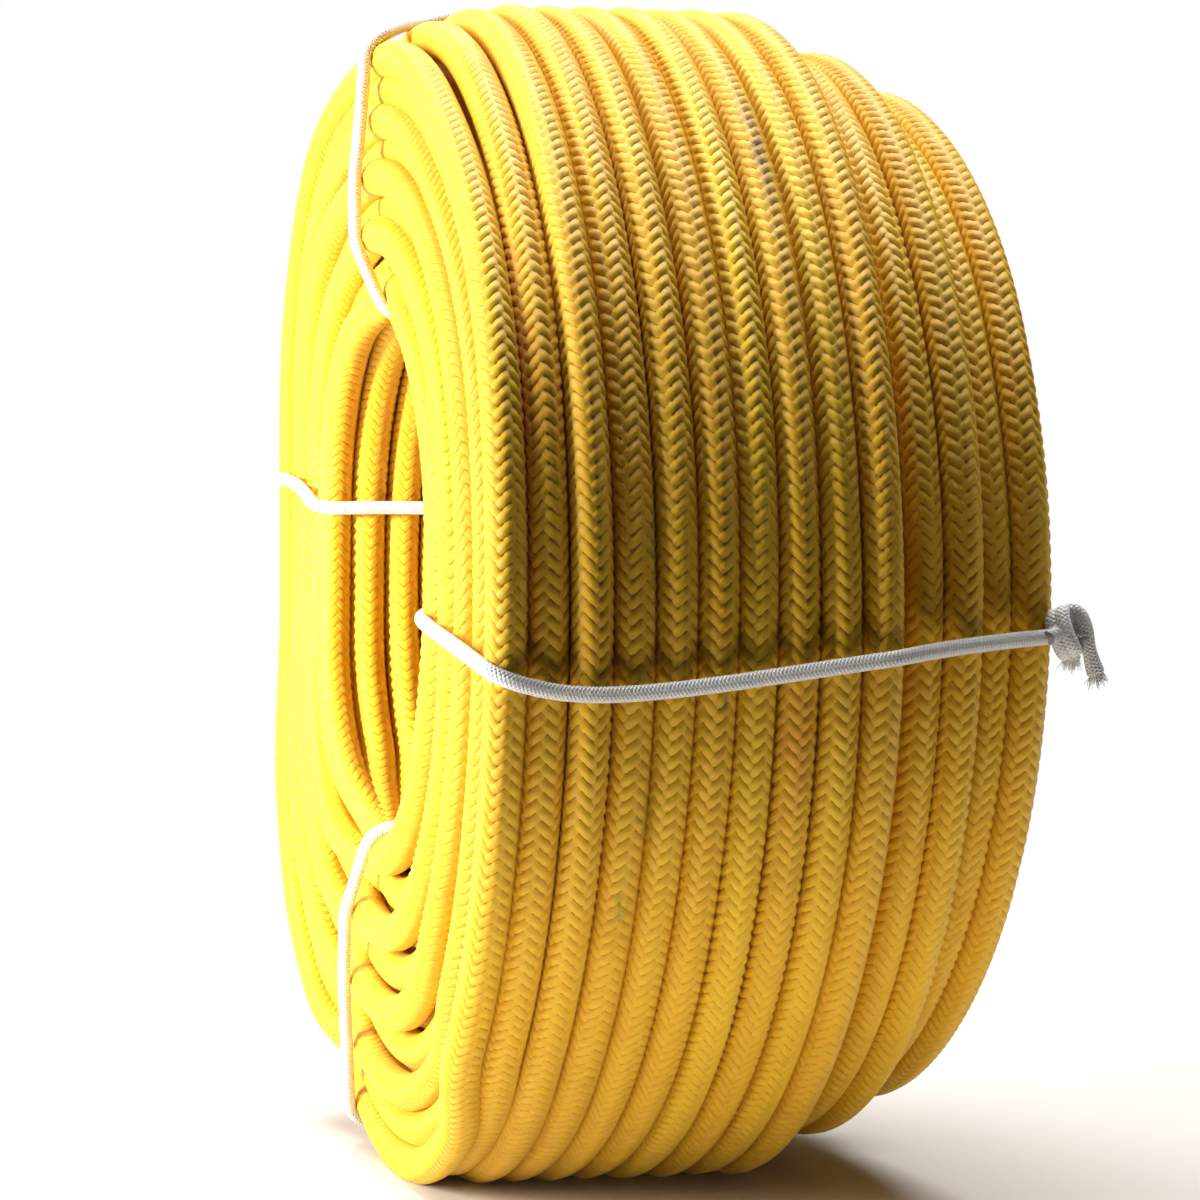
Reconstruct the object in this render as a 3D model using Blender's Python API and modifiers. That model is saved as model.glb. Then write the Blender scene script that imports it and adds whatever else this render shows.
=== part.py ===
"""Coiled dock line: a braided rope wound in nine layers, standing on its rim, tied in four places.

Metres, +Z up. The coil's axis lies along X, and the coil stands on the plane Z = 0.
Round the coil, an angle of 0 degrees is the -Y side and 90 degrees is the top.
"""

import math

import bmesh
import bpy
from mathutils import Matrix, Vector

# ---- driving dimensions -------------------------------------------------------------------------
ROPE = 0.012  # diameter of the rope, and the spacing of turns lying side by side
LAYER_PITCH = 0.0117  # radial spacing of the layers: the turns settle a little between each other
FIRST_LAYER_RADIUS = 0.0906  # to the middle of the rope in the innermost layer
# For each layer from the bore outwards: middle of its first turn from the coil's -X face, in rope
# diameters, and its number of turns. The last layers are narrower, because the rope ran out.
LAYERS = (
    (0.5, 14),
    (1.0, 13),
    (0.5, 14),
    (1.0, 13),
    (0.5, 14),
    (1.0, 14),
    (0.6, 14),
    (0.8, 12),
    (0.5, 10),
)
GAP = 0.0003  # clear space between pieces that touch
FOOT_DEPTH = 0.0016  # how far the coil's weight flattens the rope that it stands on
RING_FACETS = 48
END_FACETS = 4  # facets of the half-round edge of a layer

TIE_RADIUS = 0.0022
TIE_CLEARANCE = 0.0005  # from the coil's skin to a tie
# Each tie: its angle round the coil, how far it leans from that angle at each corner of the coil's
# section (see TIE_CORNERS), and the share of the coil's wall, from the bore, at which it is knotted.
TIES = {
    "front": (-8.0, (5.6, -1.4, 2.6, 3.4, 3.6, 3.6, 3.9), 0.80),
    "top": (96.0, (-5.5, -2.0, 0.0, 0.0, 0.0, 0.5, 1.5), 0.52),
    "back": (165.0, (-6.0, 2.2, 1.0, 0.6, 0.0, -0.5, -3.5), 0.66),
    "bottom": (251.0, (5.5, -1.0, -1.0, -1.0, -0.6, 0.0, 3.0), 0.44),
}
# The turns that a taut tie bends round: layer number and turn number, counted from 0.
TIE_CORNERS = ((0, 0), (8, 0), (8, 9), (7, 11), (6, 13), (5, 13), (0, 13))
TIE_STEP = 0.011  # spacing of the points along a tie

KNOT_LENGTH = 0.0125  # along the tie
KNOT_WIDTH = 0.0110  # across the tie
KNOT_THICKNESS = 0.0092
KNOT_STANDS_OFF = 0.0026  # from the middle of the tie outwards to the middle of the knot
# Routes of the two tails from the middle of a knot: along X (away from the coil), Y and Z.
LONG_TAIL = (
    (0.0062, 0.0000, 0.0010),
    (0.0090, -0.0010, 0.0014),
    (0.0106, -0.0014, -0.0018),
    (0.0112, -0.0012, -0.0065),
    (0.0114, -0.0004, -0.0110),
    (0.0116, 0.0004, -0.0150),
)
SHORT_TAIL = (
    (0.0048, 0.0046, -0.0020),
    (0.0056, 0.0060, -0.0046),
    (0.0058, 0.0066, -0.0076),
    (0.0058, 0.0068, -0.0104),
)

COVER_RADIUS = 0.0059  # the rope's cover where it is modelled as a piece, at the two ends
COVER_WALL = 0.0019
CORE_RADIUS = COVER_RADIUS - COVER_WALL - GAP
SEAL_THICKNESS = 0.0024
END_ARC = math.radians(32)
OUTER_END_ANGLE = math.radians(178)
INNER_END_ANGLE = math.radians(-60)
INNER_END_TURN = 2  # the inner end lies on this turn of the first layer
END_STAND_OFF = 0.0004  # from the layer that an end lies on

COIL_NAME = "coiled_dock_line"
YELLOW = (0.83, 0.56, 0.02)
CORE_YELLOW = (0.86, 0.72, 0.30)
AMBER = (0.30, 0.15, 0.02)
WHITE = (0.86, 0.85, 0.82)

# ---- worked out from the driving dimensions -----------------------------------------------------
SKIN = LAYER_PITCH / 2 - GAP / 2  # half the thickness of one layer's solid
OUTER_RADIUS = FIRST_LAYER_RADIUS + LAYER_PITCH * (len(LAYERS) - 1) + SKIN
AXIS_HEIGHT = OUTER_RADIUS - FOOT_DEPTH
COIL_WIDTH = max(first + turns - 0.5 for first, turns in LAYERS) * ROPE
TAIL_OVERHANG = 0.0130  # how much further the tails stand out on +X than the ties do on -X
LEFT_FACE_X = -(COIL_WIDTH + TAIL_OVERHANG) / 2


def layer_radius(layer):
    return FIRST_LAYER_RADIUS + LAYER_PITCH * layer


def turn_x(layer, turn):
    return LEFT_FACE_X + (LAYERS[layer][0] + turn) * ROPE


def on_coil(x, radius, angle):
    """The point at this place along the axis, this far from it, and this angle round the coil."""
    return Vector((x, -radius * math.cos(angle), AXIS_HEIGHT + radius * math.sin(angle)))


# ---- scene and materials ------------------------------------------------------------------------
def clear_scene():
    for item in list(bpy.data.objects):
        bpy.data.objects.remove(item, do_unlink=True)


def new_collection(name):
    collection = bpy.data.collections.new(name)
    bpy.context.scene.collection.children.link(collection)
    return collection


def new_material(name, colour, roughness):
    material = bpy.data.materials.new(name)
    material.use_nodes = True
    shader = material.node_tree.nodes["Principled BSDF"]
    shader.inputs["Base Color"].default_value = (*colour, 1.0)
    shader.inputs["Roughness"].default_value = roughness
    shader.inputs["Metallic"].default_value = 0.0
    return material


def link_object(name, data, collection, material=None):
    piece = bpy.data.objects.new(name, data)
    collection.objects.link(piece)
    if material:
        data.materials.append(material)
    return piece


def shade_round(mesh):
    mesh.shade_smooth()
    mesh.set_sharp_from_angle(angle=math.radians(40))


# ---- turned rings -------------------------------------------------------------------------------
def turn_profile(name, profile, collection, material, turn_by, steps, start):
    """A closed profile of (radius, distance along the axis), turned about the coil's axis."""
    mesh = bpy.data.meshes.new(name)
    edges = [(i, (i + 1) % len(profile)) for i in range(len(profile))]
    mesh.from_pydata([(radius, 0.0, along) for radius, along in profile], edges, [])
    piece = link_object(name, mesh, collection, material)
    # The profile's own Z becomes the coil's axis, and its first copy stands at the start angle.
    turned = Matrix.Rotation(math.radians(90), 4, "Y") @ Matrix.Rotation(start, 4, "Z")
    piece.matrix_world = Matrix.Translation((0.0, 0.0, AXIS_HEIGHT)) @ turned
    screw = piece.modifiers.new("turn", "SCREW")
    screw.axis = "Z"
    screw.angle = turn_by
    screw.steps = steps
    screw.render_steps = steps
    screw.use_merge_vertices = True
    screw.merge_threshold = 0.00001
    screw.use_smooth_shade = True
    return piece


def layer_profile(layer):
    """A flat band with half-round edges, as thick as the rope lies: outer side down, inner side up."""
    radius = layer_radius(layer)
    low = turn_x(layer, 0)
    high = turn_x(layer, LAYERS[layer][1] - 1)
    points = []
    for along, start in ((low, 90.0), (high, -90.0)):
        for k in range(END_FACETS + 1):
            angle = math.radians(start + 180.0 * k / END_FACETS)
            points.append((radius + SKIN * math.sin(angle), along + SKIN * math.cos(angle)))
    return points


def make_layers(collection, cutters, material):
    facet = math.radians(360 / RING_FACETS)
    for layer in range(len(LAYERS)):
        ring = turn_profile(
            f"rope_layer_{layer + 1}",
            layer_profile(layer),
            collection,
            material,
            math.radians(360),
            RING_FACETS,
            facet / 2,
        )
    foot = bpy.data.meshes.new("floor_cutter")
    floor_cutter = link_object("floor_cutter", foot, cutters)
    fill_box(foot, COIL_WIDTH * 2, OUTER_RADIUS, FOOT_DEPTH * 4)
    floor_cutter.location = (0.0, 0.0, -FOOT_DEPTH * 2)
    floor_cutter.hide_render = True
    floor_cutter.display_type = "WIRE"
    flatten = ring.modifiers.new("foot", "BOOLEAN")
    flatten.operation = "DIFFERENCE"
    flatten.object = floor_cutter


def fill_box(mesh, size_x, size_y, size_z):
    cube = bmesh.new()
    bmesh.ops.create_cube(cube, size=1.0)
    bmesh.ops.scale(cube, vec=(size_x, size_y, size_z), verts=cube.verts)
    cube.to_mesh(mesh)
    cube.free()


# ---- cords --------------------------------------------------------------------------------------
def cord(name, points, radius, collection, material):
    """A solid round cord along the points."""
    curve = bpy.data.curves.new(name, "CURVE")
    curve.dimensions = "3D"
    curve.bevel_depth = radius
    curve.bevel_resolution = 2
    curve.use_fill_caps = True
    curve.render_resolution_u = 0
    spline = curve.splines.new("POLY")
    spline.points.add(len(points) - 1)
    for target, point in zip(spline.points, points):
        target.co = (*point, 1.0)
    spline.use_smooth = True
    return link_object(name, curve, collection, material)


def tie_section(lean):
    """Points (x, radius, lean) round the coil's section, from the bore's -X corner outwards.

    A taut tie is a straight run between the turns it bends round and an arc over each of them.
    """
    reach = SKIN + TIE_CLEARANCE + TIE_RADIUS
    centres = [Vector((turn_x(*corner), layer_radius(corner[0]))) for corner in TIE_CORNERS]
    count = len(centres)
    normals = []
    for i in range(count):
        run = (centres[(i + 1) % count] - centres[i]).normalized()
        normals.append(Vector((-run.y, run.x)))
    route = []
    for i in range(count):
        before = math.atan2(normals[i - 1].y, normals[i - 1].x)
        after = math.atan2(normals[i].y, normals[i].x)
        bend = (before - after) % (2 * math.pi)
        steps = max(1, round(bend * reach / (TIE_STEP / 3)))
        for k in range(steps + 1):
            angle = before - bend * k / steps
            arm = Vector((math.cos(angle), math.sin(angle))) * reach
            route.append((centres[i] + arm, lean[i]))
        start = centres[i] + normals[i] * reach
        end = centres[(i + 1) % count] + normals[i] * reach
        steps = max(1, round((end - start).length / TIE_STEP))
        for k in range(1, steps):
            share = k / steps
            eased = share * share * (3 - 2 * share)
            leaning = lean[i] + (lean[(i + 1) % count] - lean[i]) * eased
            route.append((start.lerp(end, share), leaning))
    return [(point.x, point.y, leaning) for point, leaning in route]


def open_at_knot(route, share):
    """The route turned to start just past the knot and end just before it, and the knot's place."""
    inner = layer_radius(0)
    height = inner + (layer_radius(len(LAYERS) - 1) - inner) * share
    far_side = [i for i, (x, radius, lean) in enumerate(route) if x > 0]
    middle = min(far_side, key=lambda i: abs(route[i][1] - height) - route[i][0])
    return route[middle:] + route[: middle + 1]


def trimmed(points, cut):
    """The line through the points with this length taken off each end."""
    for _ in range(2):
        points = points[::-1]
        left = cut
        while (points[1] - points[0]).length < left:
            left -= (points[1] - points[0]).length
            points = points[1:]
        run = points[1] - points[0]
        points = [points[0] + run.normalized() * left] + points[1:]
    return points


def make_tie(name, collection, material):
    angle, lean, share = TIES[name]
    route = open_at_knot(tie_section(lean), share)
    line = [on_coil(x, radius, math.radians(angle + tilt)) for x, radius, tilt in route]
    knot_at = line[0]
    along = (line[1] - line[-2]).normalized()
    outward = Vector((1.0, 0.0, 0.0))
    outward = (outward - along * outward.dot(along)).normalized()
    across = along.cross(outward)
    loop = trimmed(line, KNOT_LENGTH / 2 + GAP)
    cord(f"tie_{name}_loop", loop, TIE_RADIUS, collection, material)

    centre = knot_at + outward * KNOT_STANDS_OFF
    make_knot(f"tie_{name}_knot", centre, along, across, outward, collection, material)
    for tail_name, tail in (("long_tail", LONG_TAIL), ("short_tail", SHORT_TAIL)):
        points = [centre + Vector(offset) for offset in tail]
        cord(f"tie_{name}_{tail_name}", points, TIE_RADIUS, collection, material)


def make_knot(name, centre, along, across, outward, collection, material):
    mesh = bpy.data.meshes.new(name)
    ball = bmesh.new()
    bmesh.ops.create_uvsphere(ball, u_segments=12, v_segments=8, radius=0.5)
    bmesh.ops.scale(ball, vec=(KNOT_LENGTH, KNOT_WIDTH, KNOT_THICKNESS), verts=ball.verts)
    ball.to_mesh(mesh)
    ball.free()
    knot = link_object(name, mesh, collection, material)
    axes = Matrix((along, across, outward)).transposed().to_4x4()
    knot.matrix_world = Matrix.Translation(centre) @ axes
    mesh.shade_smooth()


# ---- the rope's two ends ------------------------------------------------------------------------
def make_rope_end(name, x, radius, start, seal_side, collection, materials):
    """The last stretch of the rope: a cover tube, the core in it, and a melted seal on its end.

    seal_side is -1 when the seal closes the start of the arc and 1 when it closes its end.
    """
    sides = 12
    circle = [math.radians(360 * k / sides) for k in range(sides)]
    profile = [
        (radius + COVER_RADIUS * math.sin(a), x + COVER_RADIUS * math.cos(a)) for a in circle
    ]
    # A turned profile starts straight down and goes round against the coil's angles.
    first = math.radians(-90) - (start + END_ARC)
    cover = turn_profile(
        f"rope_{name}_cover", profile, collection, materials["cover"], END_ARC, 8, first
    )
    wall = cover.modifiers.new("wall", "SOLIDIFY")
    wall.thickness = COVER_WALL
    wall.offset = -1.0
    wall.use_even_offset = True

    steps = 12
    line = [on_coil(x, radius, start + END_ARC * k / steps) for k in range(steps + 1)]
    cord(f"rope_{name}_core", line, CORE_RADIUS, collection, materials["core"])

    end = start if seal_side < 0 else start + END_ARC
    end += seal_side * (SEAL_THICKNESS / 2 + GAP) / radius
    make_seal(f"rope_{name}_seal", x, radius, end, collection, materials["seal"])


def make_seal(name, x, radius, angle, collection, material):
    mesh = bpy.data.meshes.new(name)
    disc = bmesh.new()
    bmesh.ops.create_cone(
        disc,
        cap_ends=True,
        segments=16,
        radius1=COVER_RADIUS,
        radius2=COVER_RADIUS,
        depth=SEAL_THICKNESS,
    )
    disc.to_mesh(mesh)
    disc.free()
    seal = link_object(name, mesh, collection, material)
    along = Vector((0.0, math.sin(angle), math.cos(angle)))
    facing = Vector((0.0, 0.0, 1.0)).rotation_difference(along).to_matrix().to_4x4()
    seal.matrix_world = Matrix.Translation(on_coil(x, radius, angle)) @ facing
    edge = seal.modifiers.new("rounded", "BEVEL")
    edge.width = SEAL_THICKNESS * 0.3
    edge.segments = 2
    shade_round(mesh)


def main():
    clear_scene()
    parts = new_collection(COIL_NAME)
    cutters = new_collection("cutters")
    rope = new_material("yellow_braid", YELLOW, 0.62)
    ends = {
        "cover": rope,
        "core": new_material("rope_core", CORE_YELLOW, 0.75),
        "seal": new_material("melted_end", AMBER, 0.35),
    }
    white = new_material("white_tie_cord", WHITE, 0.70)

    make_layers(parts, cutters, rope)
    for name in TIES:
        make_tie(name, parts, white)

    last = len(LAYERS) - 1
    beside = turn_x(last, LAYERS[last][1] - 1) + SKIN + GAP + COVER_RADIUS
    on_layer_below = layer_radius(last - 1) + SKIN + END_STAND_OFF + COVER_RADIUS
    make_rope_end("outer_end", beside, on_layer_below, OUTER_END_ANGLE, -1, parts, ends)

    facet_sag = layer_radius(0) * (1 - math.cos(math.radians(180 / RING_FACETS)))
    in_bore = layer_radius(0) - SKIN - facet_sag - END_STAND_OFF - COVER_RADIUS
    inner_x = turn_x(0, INNER_END_TURN)
    make_rope_end("inner_end", inner_x, in_bore, INNER_END_ANGLE, 1, parts, ends)


main()
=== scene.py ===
"""Looks of the coiled dock line: braided rope, tie cords, knots, light and camera."""

import math

import bpy
import numpy as np
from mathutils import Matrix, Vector


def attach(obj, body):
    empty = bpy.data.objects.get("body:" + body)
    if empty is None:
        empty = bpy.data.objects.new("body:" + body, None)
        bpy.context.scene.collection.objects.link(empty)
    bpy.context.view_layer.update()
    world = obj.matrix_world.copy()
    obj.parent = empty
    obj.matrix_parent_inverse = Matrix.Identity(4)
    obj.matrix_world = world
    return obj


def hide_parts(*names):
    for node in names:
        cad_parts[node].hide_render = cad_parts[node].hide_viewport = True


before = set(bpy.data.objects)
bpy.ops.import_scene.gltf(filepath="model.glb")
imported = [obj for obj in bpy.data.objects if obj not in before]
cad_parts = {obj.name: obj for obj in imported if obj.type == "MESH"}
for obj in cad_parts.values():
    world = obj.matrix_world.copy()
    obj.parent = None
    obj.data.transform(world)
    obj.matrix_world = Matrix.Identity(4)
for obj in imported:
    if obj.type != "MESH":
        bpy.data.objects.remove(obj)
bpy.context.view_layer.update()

# ---- the coil's own dimensions, as in the CAD ----------------------------------------------------
ROPE = 0.012  # diameter of the rope, and the spacing of turns lying side by side
LAYER_PITCH = 0.0117  # radial spacing of the layers: the turns settle a little between each other
FIRST_LAYER_RADIUS = 0.0906  # to the middle of the rope in the innermost layer
# For each layer from the bore outwards: middle of its first turn from the coil's -X face, in rope
# diameters, and its number of turns.
LAYERS = (
    (0.5, 14),
    (1.0, 13),
    (0.5, 14),
    (1.0, 13),
    (0.5, 14),
    (1.0, 14),
    (0.6, 14),
    (0.8, 12),
    (0.5, 10),
)
LAST = len(LAYERS) - 1  # the outermost layer
GAP = 0.0003  # clear space between pieces that touch
TIE_RADIUS = 0.0022
TIE_CLEARANCE = 0.0005  # from the coil's skin to a tie
TIE_SINK = 0.0003  # how far a taut tie presses into the rope
# Each tie: its angle round the coil, how far it leans from that angle at each corner of the coil's
# section (see TIE_CORNERS), and the share of the coil's wall, from the bore, at which it is knotted.
TIES = {
    "front": (-8.0, (5.6, -1.4, 2.6, 3.4, 3.6, 3.6, 3.9), 0.80),
    "top": (96.0, (-5.5, -2.0, 0.0, 0.0, 0.0, 0.5, 1.5), 0.52),
    "back": (165.0, (-6.0, 2.2, 1.0, 0.6, 0.0, -0.5, -3.5), 0.66),
    "bottom": (251.0, (5.5, -1.0, -1.0, -1.0, -0.6, 0.0, 3.0), 0.44),
}
SLID = {"top": 9.0}  # how far a tie has slid forwards on the slipped shoulder, in degrees
# The turns that a taut tie bends round: layer number and turn number, counted from 0.
TIE_CORNERS = ((0, 0), (8, 0), (8, 9), (7, 11), (6, 13), (5, 13), (0, 13))
SKIN = LAYER_PITCH / 2 - GAP / 2  # half the thickness of one layer's solid
AXIS_HEIGHT = 0.1883
LEFT_FACE_X = -0.0935
OUTER_END_X = LEFT_FACE_X + 0.1259
OUTER_END_RADIUS = 0.1845
INNER_END_RADIUS = 0.0784
END_ARC = math.radians(32)  # how far round the coil each end piece reaches
OUTER_END_ANGLE = math.radians(178)
INNER_END_ANGLE = math.radians(-60)
INNER_END_TURN = 2  # the inner end lies on this turn of the first layer

# ---- how the rope is laid ------------------------------------------------------------------------
CROSSING = math.radians(240)  # where every turn steps over to its next lane, by the bottom tie
CROSSING_LENGTH = 0.034  # half of the rope's length in such a step
BORE_RISE = 0.0052  # the inner layers ride up, and the wall under the bore is looser
STRANDS = 8  # in each direction
LAY_LENGTH = 0.0325  # of one strand, once round the rope
BRAID_RISE = 0.00026  # of a strand where it passes over
BRAID_DROP = 0.00054  # from the middle of a strand to its edges
BODY_RADIUS = 0.0059  # of the rope without its braid
HALF_LANE = 0.00604  # turns press flat against their neighbours here
PLAIN_SIDES = 8  # of buried rope
CORD_STRANDS = 7  # of a tie cord, in each direction
CORD_LAY = 0.0078
PLAIN_SPACING = 0.008
ROUTE_STEP = 0.004  # spacing of the points along the rope
TANGENT_REACH = 0.0015  # a line's direction is taken this far to both sides


def layer_radius(layer):
    """From the coil's axis to the middle of the rope."""
    return FIRST_LAYER_RADIUS + LAYER_PITCH * layer


def turn_x(layer, turn):
    """The even place of a turn along the coil's axis."""
    return LEFT_FACE_X + (LAYERS[layer][0] + turn) * ROPE


def rise(layer):
    """How far a layer rides above its even place."""
    return BORE_RISE * max(0.0, 1.0 - layer / 6.0)


def smooth(share):
    """An S-curve from 0 to 1."""
    share = np.clip(share, 0.0, 1.0)
    return share * share * (3.0 - 2.0 * share)


# ---- camera --------------------------------------------------------------------------------------
def make_camera():
    data = bpy.data.cameras.new("camera")
    data.sensor_width = 36.0
    data.lens = 107.76
    data.clip_start = 0.05
    data.clip_end = 200.0
    camera = bpy.data.objects.new("camera", data)
    bpy.context.scene.collection.objects.link(camera)
    camera.location = (-0.2867, -1.1520, 0.1859)
    camera.rotation_euler = (math.radians(90), 0.0, -0.229)
    bpy.context.scene.camera = camera


make_camera()


# ---- mesh building -------------------------------------------------------------------------------
class Builder:
    """Collects points, faces, rope coordinates and marks of one piece."""

    def __init__(self):
        self.points, self.faces, self.coords, self.tones, self.marks = [], [], [], [], []
        self.count = 0

    def add(self, points, faces, coords, tones=None, marks=None):
        points = np.asarray(points, float)
        self.points.append(points)
        self.faces.append(np.asarray(faces, np.int64) + self.count)
        self.coords.append(np.asarray(coords, float).reshape(-1, 2))
        self.tones.append(np.zeros(len(points)) if tones is None else tones)
        self.marks.append(np.zeros((len(points), 3)) if marks is None else marks)
        self.count += len(points)

    def close(self, faces, along=0.0):
        """Triangles between points that are there already, all with one rope coordinate."""
        self.faces.append(np.asarray(faces, np.int64))
        self.coords.append(np.tile([0.0, along], (len(faces) * 3, 1)))

    def build(self, name, material):
        points = np.concatenate(self.points)
        sizes = np.concatenate([np.full(len(f), f.shape[1]) for f in self.faces])
        corners = np.concatenate([f.ravel() for f in self.faces])
        starts = np.concatenate([[0], np.cumsum(sizes)[:-1]])
        mesh = bpy.data.meshes.new(name)
        mesh.vertices.add(len(points))
        mesh.vertices.foreach_set("co", points.astype(np.float32).ravel())
        mesh.loops.add(len(corners))
        mesh.loops.foreach_set("vertex_index", corners.astype(np.int32))
        mesh.polygons.add(len(sizes))
        mesh.polygons.foreach_set("loop_start", starts.astype(np.int32))
        mesh.update(calc_edges=True)
        lay = mesh.uv_layers.new(name="lay")
        lay.data.foreach_set("uv", np.concatenate(self.coords).astype(np.float32).ravel())
        tone = mesh.attributes.new("tone", "FLOAT", "POINT")
        tone.data.foreach_set("value", np.concatenate(self.tones).astype(np.float32))
        mark = mesh.attributes.new("mark", "FLOAT_VECTOR", "POINT")
        mark.data.foreach_set("vector", np.concatenate(self.marks).astype(np.float32).ravel())
        mesh.shade_smooth()
        mesh.materials.append(material)
        piece = bpy.data.objects.new(name, mesh)
        bpy.context.scene.collection.objects.link(piece)
        return piece


def braid_height(u, v):
    """Height of a two-over-two braid of 8 + 8 strands; u and v count the strands of each hand."""
    i, j = np.floor(u), np.floor(v)
    across_s, across_z = np.abs(2 * (u - i) - 1), np.abs(2 * (v - j) - 1)
    over_s = np.cos(math.pi / 2 * ((i + v) - 1))
    over_z = -np.cos(math.pi / 2 * ((u + j) - 1))
    return np.maximum(
        BRAID_RISE * over_s - BRAID_DROP * across_s**3,
        BRAID_RISE * over_z - BRAID_DROP * across_z**3,
    )


def at(values, places):
    """The rows of values at these fractional places."""
    low = np.clip(np.floor(places).astype(int), 0, len(values) - 2)
    share = (places - low)[:, None]
    return values[low] * (1 - share) + values[low + 1] * share


def tube_faces(rows, sides):
    """The quads of a tube with this many rows of this many points."""
    index = np.arange(rows * sides).reshape(rows, sides)
    beside = np.roll(index, -1, axis=1)
    return np.stack([index[:-1], beside[:-1], beside[1:], index[1:]], axis=-1).reshape(-1, 4)


def tube_coords(distance, sides, lay_length):
    """Rope coordinates of those quads: share of a turn round it, and lays along it."""
    rows = len(distance)
    low = np.arange(sides)[None, :] / sides * np.ones((rows - 1, 1))
    high = low + 1 / sides
    start = (distance[:-1] / lay_length)[:, None] * np.ones((1, sides))
    end = (distance[1:] / lay_length)[:, None] * np.ones((1, sides))
    corners = ((low, start), (high, start), (high, end), (low, end))
    return np.stack([np.stack(corner, -1) for corner in corners], axis=2).reshape(-1, 2)


class Route:
    """A rope's centre line with its outward direction, and a place along it for each distance."""

    def __init__(self, points, outward, tone=None):
        self.points, self.outward = np.asarray(points, float), np.asarray(outward, float)
        steps = np.linalg.norm(np.diff(self.points, axis=0), axis=1)
        self.along = np.concatenate([[0.0], np.cumsum(steps)])
        self.length = self.along[-1]
        self.tone = np.zeros(len(self.points)) if tone is None else tone

    def frames(self, distances):
        """Centre, direction, outward, sideways and tone at each distance along the line."""
        row = np.arange(len(self.along))
        inside = np.clip(distances, 0, self.length)
        places = np.interp(inside, self.along, row)
        centre = at(self.points, places)
        ahead = np.interp(inside + TANGENT_REACH, self.along, row)
        behind = np.interp(inside - TANGENT_REACH, self.along, row)
        tangent = at(self.points, ahead) - at(self.points, behind)
        tangent /= np.linalg.norm(tangent, axis=1)[:, None]
        out = at(self.outward, places)
        out -= (out * tangent).sum(1)[:, None] * tangent
        out /= np.linalg.norm(out, axis=1)[:, None]
        centre = centre + tangent * (distances - inside)[:, None]
        tone = np.interp(places, np.arange(len(self.tone)), self.tone)
        return centre, tangent, out, np.cross(tangent, out), tone


def roll(distance):
    """How far the rope has rolled about its own line, in radians, as it was wound."""
    return (
        1.3 * np.sin(distance / 0.83 + 0.4)
        + 0.9 * np.sin(distance / 0.367 + 2.0)
        + 0.35 * np.sin(distance / 0.151 + 1.1)
    )


def add_rings(builder, route, start, end, sides, distance_at_start, marks_of):
    """A braided length of rope on a lattice whose edges run along the strands."""
    teeth = 2 * sides
    step = LAY_LENGTH / teeth
    first = int(math.floor((start + distance_at_start) / step)) - 1
    last = int(math.ceil((end + distance_at_start) / step)) + 1
    n = np.arange(first, last + 1)
    distance = n * step - distance_at_start
    centre, tangent, out, side, tone = route.frames(distance)
    m = 2 * np.arange(sides)[None, :] + (n % 2)[:, None]
    u, v = (m + n[:, None]) * STRANDS / teeth, (m - n[:, None]) * STRANDS / teeth
    height = braid_height(u + 1e-9, v + 1e-9)
    angle = roll(n * step)[:, None] + 2 * math.pi * m / teeth
    radius = BODY_RADIUS + height
    rise_by, side_by = radius * np.cos(angle), radius * np.sin(angle)
    side_by = np.clip(side_by, -HALF_LANE, HALF_LANE)
    points = centre[:, None] + out[:, None] * rise_by[..., None] + side[:, None] * side_by[..., None]
    # The rope that carries the coil is pressed flat, and only its crevices stay clear of the floor.
    low = points[..., 2] < 0.0
    points[..., 2] = np.where(low, 0.00002 * (height < 0), points[..., 2])
    rows = len(n)
    index = np.arange(rows * sides).reshape(rows, sides)
    k = np.arange(sides)[None, :]
    odd = (n[:-2] % 2)[:, None]
    left, right = (k - 1 + odd) % sides, (k + odd) % sides
    quads = np.stack(
        [
            index[:-2],
            np.take_along_axis(index[1:-1], right, 1),
            index[2:],
            np.take_along_axis(index[1:-1], left, 1),
        ],
        axis=-1,
    ).reshape(-1, 4)
    base = n[:-2] - n[:-2] % teeth
    along = (n[:-2] - base)[:, None] * np.ones((1, sides))
    mm = m[:-2]
    coords = np.stack(
        [
            np.stack([mm, along], -1),
            np.stack([mm + 1, along + 1], -1),
            np.stack([mm, along + 2], -1),
            np.stack([mm - 1, along + 1], -1),
        ],
        axis=2,
    ).reshape(-1, 2) / teeth
    tones = np.repeat(tone, sides)
    marks = marks_of(points.reshape(-1, 3)) if marks_of else None
    builder.add(points.reshape(-1, 3), quads, coords, tones, marks)
    # Triangles fill the teeth at the two ends.
    first_point = builder.count - rows * sides
    for row, other in ((0, 1), (rows - 1, rows - 2)):
        here = index[row]
        beside = index[other][(np.arange(sides) + n[row] % 2) % sides]
        triangles = np.stack([here, np.roll(here, -1), beside], axis=-1)
        builder.close(triangles + first_point, 0.01)


def add_plain(builder, route, start, end):
    """A plain stretch, for rope that lies buried in the coil."""
    rows = max(2, int(math.ceil((end - start) / PLAIN_SPACING)) + 1)
    distance = np.linspace(start, end, rows)
    centre, tangent, out, side, tone = route.frames(distance)
    angle = 2 * math.pi * np.arange(PLAIN_SIDES) / PLAIN_SIDES
    points = centre[:, None] + BODY_RADIUS * (
        out[:, None] * np.cos(angle)[None, :, None] + side[:, None] * np.sin(angle)[None, :, None]
    )
    points[..., 2] = np.maximum(points[..., 2], 0.0)
    coords = tube_coords(distance, PLAIN_SIDES, LAY_LENGTH)
    faces = tube_faces(rows, PLAIN_SIDES)
    builder.add(points.reshape(-1, 3), faces, coords, np.repeat(tone, PLAIN_SIDES))


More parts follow.
